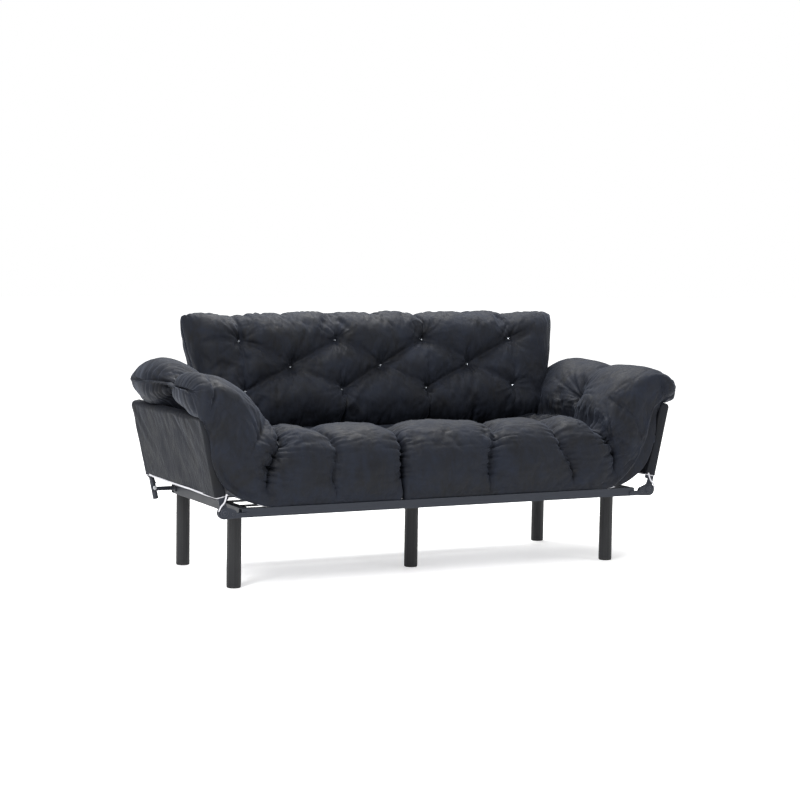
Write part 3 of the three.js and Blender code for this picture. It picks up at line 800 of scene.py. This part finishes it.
def cushion_rows():
    """Rings of the smooth cushion from its left end to its right, rounded off at both."""
    around = int(CUSHION_GIRTH / CLOTH_STEP)
    half = (CUSHION_RIGHT[1] - CUSHION_LEFT[1]) / 2
    ends = END_ROUND * (1 - np.cos(np.linspace(0, math.pi / 2, int(0.18 / CLOTH_STEP))[:-1]))
    inner = np.linspace(END_ROUND, 2 * half - END_ROUND, int(2 * (half - END_ROUND) / CLOTH_STEP))
    reach = np.concatenate([ends, inner, (2 * half - ends)[::-1]])
    rows = np.zeros((len(reach), around, 3))
    for i, x in enumerate(reach):
        d = min(1.0, min(x, 2 * half - x) / END_ROUND)
        swell = math.sqrt(max(0.0004, 1 - (1 - d) ** 2))
        loop = cushion_loop(CUSHION_SEAM + (CUSHION_FRONT - CUSHION_SEAM) * swell,
                            CUSHION_SEAM + (CUSHION_REAR - CUSHION_SEAM) * swell)
        loop = resample(loop, around, closed=True)
        flatter = 1 - END_DROP * (1 - swell) ** 1.5
        loop[:, 1] = CUSHION_MIDDLE + (loop[:, 1] - CUSHION_MIDDLE) * flatter
        share = (loop[:, 1] - CUSHION_LOW) / (CUSHION_HIGH - CUSHION_LOW)
        left = CUSHION_LEFT[0] + (CUSHION_LEFT[1] - CUSHION_LEFT[0]) * share
        right = CUSHION_RIGHT[0] + (CUSHION_RIGHT[1] - CUSHION_RIGHT[0]) * share
        rows[i, :, 0] = left + (right - left) * x / (2 * half)
        rows[i, :, 1:] = loop
    return rows


def make_cushion():
    """The tufted cushion: drawn in at its pulled lines and buttons, inflated, and finely folded."""
    rows = cushion_rows()
    drawn, held = cushion_tufting(rows[:, :, 0], rows[:, :, 2])
    forward = np.clip((CUSHION_SEAM - rows[:, :, 1]) / 0.09, 0, 1)
    rear = smooth(rows[:, :, 1], CUSHION_REAR - 0.02, CUSHION_REAR - 0.005)
    lay = rows.copy()
    rows = rows - ring_normals(rows) * (drawn * forward + INSET * (1 - rear))[:, :, None]
    piece = grid_mesh("back_cushion_tufted", to_world(rows))
    piece.data.materials.append(MATERIALS["velvet"])
    held = np.maximum(held * forward, rear)
    keep(piece, "lay", lay.reshape(-1, 3))
    inflate(piece, np.concatenate([held.ravel(), [0.5, 0.5]]), pressure=6, slack=0.05, cap=0.022)
    refine(piece)
    lay = kept(piece, "lay")
    push_out(piece, cushion_wrinkles(lay) * smooth(-lay[:, 1], -CUSHION_REAR + 0.01, 0.09))
    return piece


def cushion_wrinkles(lay):
    """Gathers that radiate from each button, edge puckers, and the pad's slow unevenness."""
    amount = 0.0035 * noise_field(lay * 8, 3) + 0.0013 * folded(lay * np.array([30, 20, 16]) + 5)
    front = lay[:, 1] < CUSHION_SEAM
    for i, (bx, bz) in enumerate(button_places()):
        near = np.nonzero(front & (np.hypot(lay[:, 0] - bx, lay[:, 2] - bz) < 0.16))[0]
        amount[near] += radial_gathers(lay[near, 0] - bx, lay[near, 2] - bz, 0.0080, 0.055, i)
    edge = np.minimum(CUSHION_HIGH - lay[:, 2], lay[:, 2] - CUSHION_LOW)
    puckers = folded(lay * np.array([42, 10, 9])) * np.exp(-np.maximum(edge, 0) / 0.045)
    return amount + PUCKER * puckers


cushion = make_cushion()
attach(cushion, "back")
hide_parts("back_cushion")

STUD_RADIUS = 0.0045
STUD_PROFILE = ((0.92, -0.0010), (1.0, 0.0006), (0.90, 0.0016), (0.82, 0.0016), (0.48, 0.0034))
STUD_FACETS = 10
STUD_LIFT = 0.001


def make_stud(index, button):
    """A faceted stone with a thin rim round its foot, seated on the cushion at the button."""
    near = to_world(np.array([button[0], CUSHION_FRONT, button[1]]))
    outward = Vector((0, -math.cos(BACK_LEAN), math.sin(BACK_LEAN)))
    cushion_now = cushion.evaluated_get(bpy.context.evaluated_depsgraph_get())
    _, seat, _, _ = cushion_now.ray_cast(Vector(near) + outward * 0.1, -outward)
    turn = outward.to_track_quat("Z", "Y")
    bm = bmesh.new()
    rings = []
    for k, (share, height) in enumerate(STUD_PROFILE):
        radius = STUD_RADIUS * share
        angles = [2 * math.pi * (j + 0.5 * (k % 2)) / STUD_FACETS for j in range(STUD_FACETS)]
        ring = [Vector((radius * math.cos(t), radius * math.sin(t), height + STUD_LIFT)) for t in angles]
        rings.append([bm.verts.new(seat + turn @ corner) for corner in ring])
    for k, (low, high) in enumerate(zip(rings, rings[1:])):
        for j in range(STUD_FACETS):
            n = (j + 1) % STUD_FACETS
            if k % 2 == 0:
                bm.faces.new((low[j], low[n], high[j]))
                bm.faces.new((high[j], low[n], high[n]))
            else:
                bm.faces.new((low[j], high[n], high[j]))
                bm.faces.new((low[j], low[n], high[n]))
    bm.faces.new(rings[-1])
    bm.faces.new(rings[0][::-1])
    mesh = bpy.data.meshes.new(f"crystal_stud_{index}")
    bmesh.ops.recalc_face_normals(bm, faces=bm.faces)
    bm.to_mesh(mesh)
    bm.free()
    mesh.materials.append(MATERIALS["crystal"])
    stud = bpy.data.objects.new(mesh.name, mesh)
    bpy.context.scene.collection.objects.link(stud)
    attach(stud, "back")


for index, button in enumerate(button_places(), 1):
    make_stud(index, button)


# ---- arm covers: fitted sleeves over the arm frames, open at the bottom ----
COVER_U = -0.0185, 0.0215
COVER_Y = -0.3880, 0.3120
COVER_W = 0.0550, 0.3275
COVER_CORNER = 0.013
COVER_STEP = 0.006
COVER_GIRTH = 1.46
COVER_TOP_INSET = 0.018
FLAT_FACE = 0.0195
HANG_FOLDS, PULL_FOLDS, COVER_HOLLOW = 0.0030, 0.0036, 0.0042
HEM_HEIGHT = 0.007
HEM_STEP, HEM_INSET = 0.0035, 0.0012
HEM_SHOWS = 0.0018


def open_mesh(name, rows, material, close_last):
    """Rings of points as one sheet of faces; the last ring may be closed with a fan."""
    count, around = rows.shape[:2]
    verts = rows.reshape(-1, 3).tolist()
    faces = [(i * around + j, i * around + (j + 1) % around,
              (i + 1) * around + (j + 1) % around, (i + 1) * around + j)
             for i in range(count - 1) for j in range(around)]
    if close_last:
        verts.append(rows[-1].mean(0).tolist())
        base = (count - 1) * around
        faces += [(base + j, base + (j + 1) % around, len(verts) - 1) for j in range(around)]
    mesh = bpy.data.meshes.new(name)
    mesh.from_pydata(verts, [], faces)
    mesh.polygons.foreach_set("use_smooth", [True] * len(mesh.polygons))
    mesh.materials.append(MATERIALS[material])
    obj = bpy.data.objects.new(name, mesh)
    bpy.context.scene.collection.objects.link(obj)
    return obj


def cover_ring(inset):
    """Rounded rectangle round the arm frame in (inboard, depth), inset all round."""
    (u0, u1), (y0, y1) = COVER_U, COVER_Y
    r = max(COVER_CORNER - inset, 0.002)
    u0, u1, y0, y1 = u0 + inset, u1 - inset, y0 + inset, y1 - inset
    points = []
    corners = ((u1 - r, y1 - r, 0), (u0 + r, y1 - r, 90), (u0 + r, y0 + r, 180), (u1 - r, y0 + r, 270))
    for cu, cy, start in corners:
        for degrees in np.linspace(start, start + 90, 7):
            t = math.radians(degrees)
            points.append((cu + r * math.cos(t), cy + r * math.sin(t)))
    return np.array(points)


def cover_rows(low, high, step, inset=0.0):
    """Rings of a sleeve in (inboard, depth, upward); one that reaches the cover's top turns in over it."""
    around = int(COVER_GIRTH / COVER_STEP)
    levels = [(w, inset) for w in np.arange(low, high - COVER_CORNER, step)]
    if high == COVER_W[1]:
        for t in np.linspace(0, math.pi / 2, 6):
            level = high - COVER_CORNER + COVER_CORNER * math.sin(t)
            levels.append((level, COVER_CORNER * (1 - math.cos(t))))
        levels.append((high, COVER_TOP_INSET))
    rows = np.zeros((len(levels), around, 3))
    for i, (w, level_inset) in enumerate(levels):
        rows[i, :, :2] = resample(cover_ring(level_inset), around, closed=True)
        rows[i, :, 2] = w
    return rows


def cover_relief(rows):
    """Folds that hang from the top seam, diagonal pulls from the corners and a hollow between posts."""
    u, y, w = rows[..., 0], rows[..., 1], rows[..., 2]
    below = COVER_W[1] - w
    flat = np.stack([y, w, u], axis=-1).reshape(-1, 3)
    hang = folded(flat * np.array([24, 5, 10]) + 2).reshape(u.shape) * np.exp(-below / 0.055)
    slant = flat.copy()
    slant[:, 0] += 0.9 * (COVER_W[1] - slant[:, 1])
    pulls = folded(slant * np.array([13, 3, 10]) + 9).reshape(u.shape) * np.exp(-below / 0.13)
    reach = np.clip((y - COVER_Y[0]) / (COVER_Y[1] - COVER_Y[0]), 0, 1)
    hollow = COVER_HOLLOW * np.sin(math.pi * reach) * smooth(below, 0.0, 0.08)
    slow = 0.002 * noise_field(flat * 9, 2).reshape(u.shape)
    relief = HANG_FOLDS * hang + PULL_FOLDS * pulls + slow
    return relief * smooth(below, 0.0, 0.02) - hollow


def arm_sheet(name, rows, side, material, close_last):
    """An open sheet from rows in the arm's frame, riding the arm."""
    x, z = from_arm_frame(rows[..., 0], rows[..., 2], side)
    sheet = open_mesh(name, np.stack([x, rows[..., 1], z], axis=-1), material, close_last)
    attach(sheet, f"arm_{side}")
    return sheet


def make_cover(side):
    """A velvet sleeve with folds on its outer face, and the pale hem that shows under its open end."""
    rows = cover_rows(*COVER_W, COVER_STEP)
    outer = rows[..., 0] - (COVER_U[0] + COVER_U[1]) / 2 < -FLAT_FACE
    rows[..., 0] -= outer * cover_relief(rows)
    # the sleeve takes cover_velvet, the velvet darkened as painted shade
    cover = arm_sheet(f"arm_cover_velvet_{side}", rows, side, "cover_velvet", True)
    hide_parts(f"arm_cover_{side}")
    hem_top = COVER_W[0] + HEM_HEIGHT + COVER_CORNER
    hem_rows = cover_rows(COVER_W[0] - 0.001, hem_top, HEM_STEP, HEM_INSET)
    uneven = 1 + noise_field(hem_rows.reshape(-1, 3) * 14, 1).reshape(hem_rows.shape[:2])
    hem_rows[..., 2] -= HEM_SHOWS * uneven
    hem = arm_sheet(f"arm_cover_hem_{side}", hem_rows, side, "lining", False)


for side in SIGN:
    make_cover(side)


# ---- ties of the arm covers: narrow tapes at the feet of the posts, in the arm's frame ----
TAPE_WIDTH, TAPE_THICK = 0.005, 0.0012
TAPE_ROUTES = {
    "front": ((0.020, -0.3905, 0.060), (0.006, -0.3930, 0.036),
              (-0.010, -0.3935, 0.024), (-0.020, -0.3910, 0.010)),
    "rear": ((-0.016, 0.304, 0.060), (-0.008, 0.3065, 0.040),
             (0.006, 0.3065, 0.026), (0.014, 0.304, 0.012)),
}


def make_tape(side, place):
    """A flat woven tape, closed all round, along a smooth route."""
    route = catmull(TAPE_ROUTES[place], 26)
    x, z = from_arm_frame(route[:, 0], route[:, 2], side)
    line = np.stack([x, route[:, 1], z], axis=1)
    ahead = np.gradient(line, axis=0)
    ahead /= np.linalg.norm(ahead, axis=1, keepdims=True)
    across = np.cross(ahead, (0, 1, 0))
    across /= np.linalg.norm(across, axis=1, keepdims=True)
    out = np.cross(across, ahead)
    wide, thick = across * TAPE_WIDTH / 2, out * TAPE_THICK / 2
    low, high = (line - thick, line + thick)
    rings = np.stack([low - wide, low + wide, high + wide, high - wide], axis=1)
    corners = rings.shape[1]
    faces = [(i * corners + j, i * corners + (j + 1) % corners,
              (i + 1) * corners + (j + 1) % corners, (i + 1) * corners + j)
             for i in range(len(line) - 1) for j in range(corners)]
    last = (len(line) - 1) * corners
    faces += [tuple(range(corners)), tuple(range(last + corners - 1, last - 1, -1))]
    mesh = bpy.data.meshes.new(f"cover_tie_{place}_{side}")
    mesh.from_pydata(rings.reshape(-1, 3).tolist(), [], faces)
    mesh.materials.append(MATERIALS["lining"])
    tape = bpy.data.objects.new(mesh.name, mesh)
    bpy.context.scene.collection.objects.link(tape)
    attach(tape, f"arm_{side}")


for side in SIGN:
    for place in TAPE_ROUTES:
        make_tape(side, place)


# ---- studio: pale floor that glows to white away from the sofa, white surroundings, soft lights ----
AMBIENT = 0.34
FLOOR_SIZE = 60
FLOOR_GLOW = {"From Min": 0.6, "From Max": 3.2, "To Min": 0.46, "To Max": 0.95}
LIGHT_AIM = Vector((0, 0, 0.4))
# name, place, size and power
LIGHTS = (
    ("key", (-4.0, -3.0, 3.9), 2.2, 345),
    ("fill", (4.4, -3.6, 3.0), 2.6, 100),
    ("top", (0.5, 1.4, 4.5), 3.0, 370),
)


def make_floor():
    bpy.ops.mesh.primitive_plane_add(size=FLOOR_SIZE, location=(0, 0, 0))
    floor = bpy.context.object
    floor.name = "floor"
    material, nodes, links, shader = new_material("floor")
    set_sockets(shader, {"Base Color": (0.72, 0.72, 0.72, 1), "Roughness": 0.5,
                         "Emission Color": (1, 1, 1, 1)})
    where = add_node(nodes, "ShaderNodeNewGeometry")
    away = add_node(nodes, "ShaderNodeVectorMath")
    away.operation = "LENGTH"
    links.new(where.outputs["Position"], away.inputs[0])
    glow = add_node(nodes, "ShaderNodeMapRange", FLOOR_GLOW)
    glow.interpolation_type = "SMOOTHSTEP"
    links.new(away.outputs["Value"], glow.inputs["Value"])
    links.new(glow.outputs["Result"], shader.inputs["Emission Strength"])
    floor.data.materials.append(material)


def make_world():
    """White where the camera sees it, and dimmer as a light."""
    bpy.context.scene.view_settings.view_transform = "Standard"
    world = bpy.data.worlds.new("studio")
    bpy.context.scene.world = world
    world.use_nodes = True
    nodes, links = world.node_tree.nodes, world.node_tree.links
    seen = add_node(nodes, "ShaderNodeLightPath")
    strength = add_node(nodes, "ShaderNodeMapRange", {"To Min": AMBIENT})
    links.new(seen.outputs["Is Camera Ray"], strength.inputs["Value"])
    links.new(strength.outputs["Result"], nodes["Background"].inputs["Strength"])
    set_sockets(nodes["Background"], {"Color": (1, 1, 1, 1)})


def make_light(name, at, size, power):
    light = bpy.data.lights.new(name, "AREA")
    light.shape = "DISK"
    light.size = size
    light.energy = power
    lamp = bpy.data.objects.new(name, light)
    lamp.location = at
    lamp.rotation_euler = (LIGHT_AIM - Vector(at)).to_track_quat("-Z", "Y").to_euler()
    bpy.context.scene.collection.objects.link(lamp)


make_floor()
make_world()
for light in LIGHTS:
    make_light(*light)
